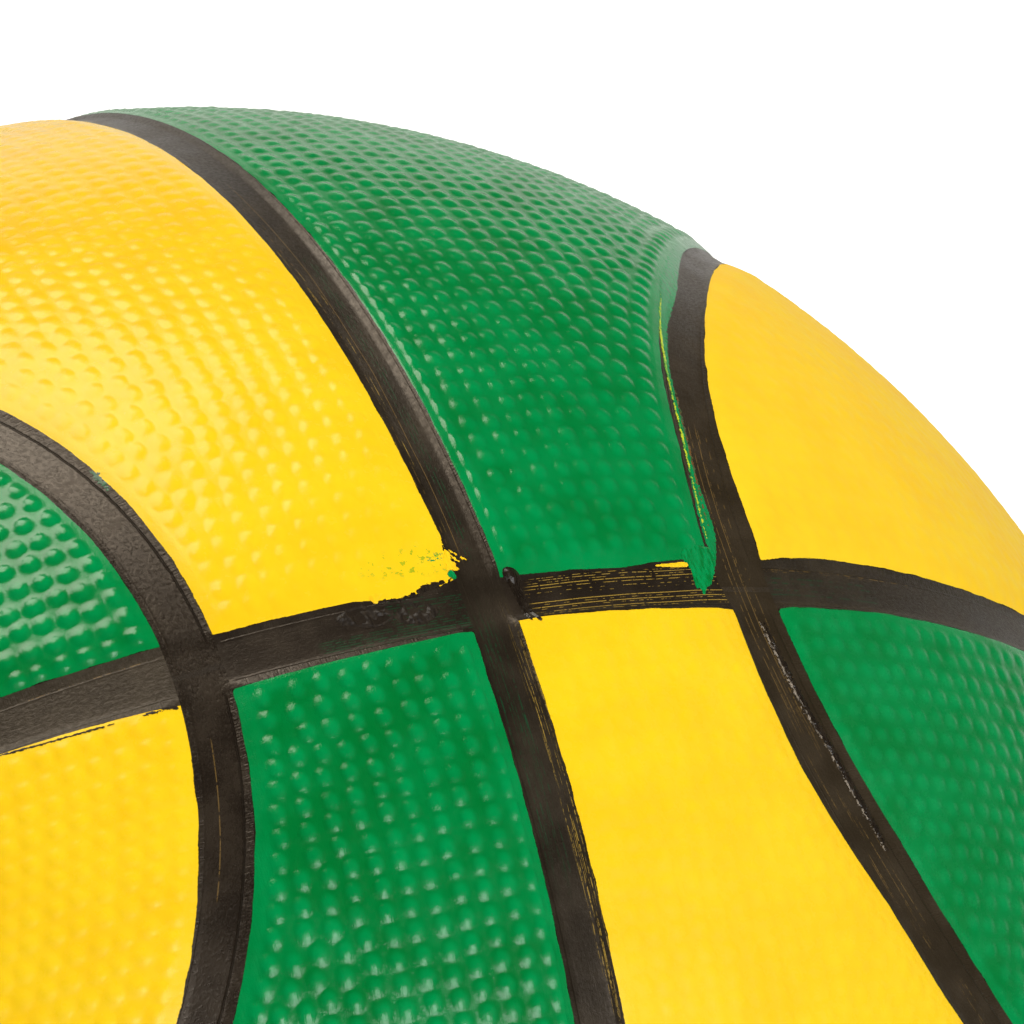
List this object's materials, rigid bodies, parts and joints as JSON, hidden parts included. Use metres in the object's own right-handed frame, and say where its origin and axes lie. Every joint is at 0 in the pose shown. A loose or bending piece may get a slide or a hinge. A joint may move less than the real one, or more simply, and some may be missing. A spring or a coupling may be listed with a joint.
{
  "type": "basketball",
  "caption": "Inflated rubber basketball with pebbled green and yellow panels, recessed black channels and a needle valve in one seam.",
  "frame": {"origin": "centre of the ball", "axes": "+Y out of the ball through the valve, along the needle's way in; +Z through one crossing of the two straight seams, away from the floor; +X right-handed, square to the plane of the centre seam that holds the valve"},
  "size_m": [0.24, 0.2398, 0.2398],
  "materials": {
    "green_paint": "gloss",
    "yellow_paint": "satin",
    "channel_rubber": "satin",
    "carcass_rubber": "matte",
    "winding_yarn": "matte",
    "bladder_rubber": "satin",
    "patch_rubber": "matte",
    "valve_rubber": "satin",
    "plug_rubber": "matte"
  },
  "bodies": {
    "root": {"bladder": "bladder_rubber", "winding": "winding_yarn", "carcass": "carcass_rubber", "valve_patch": "patch_rubber", "valve_body": "valve_rubber", "valve_plug": "plug_rubber", "valve_pad": "channel_rubber", "centre_channel_ring": "channel_rubber", "curved_channel_left": "channel_rubber", "curved_channel_right": "channel_rubber", "cross_channel_top_left": "channel_rubber", "cross_channel_top_right": "channel_rubber", "cross_channel_bottom_left": "channel_rubber", "cross_channel_bottom_right": "channel_rubber", "cross_channel_left_end": "channel_rubber", "cross_channel_right_end": "channel_rubber", "green_panel_front_left": "green_paint", "green_panel_rear_right": "green_paint", "green_end_panel_front_right": "green_paint", "green_end_panel_rear_left": "green_paint", "yellow_panel_front_right": "yellow_paint", "yellow_panel_rear_left": "yellow_paint", "yellow_end_panel_front_left": "yellow_paint", "yellow_end_panel_rear_right": "yellow_paint"}
  },
  "joints": []
}
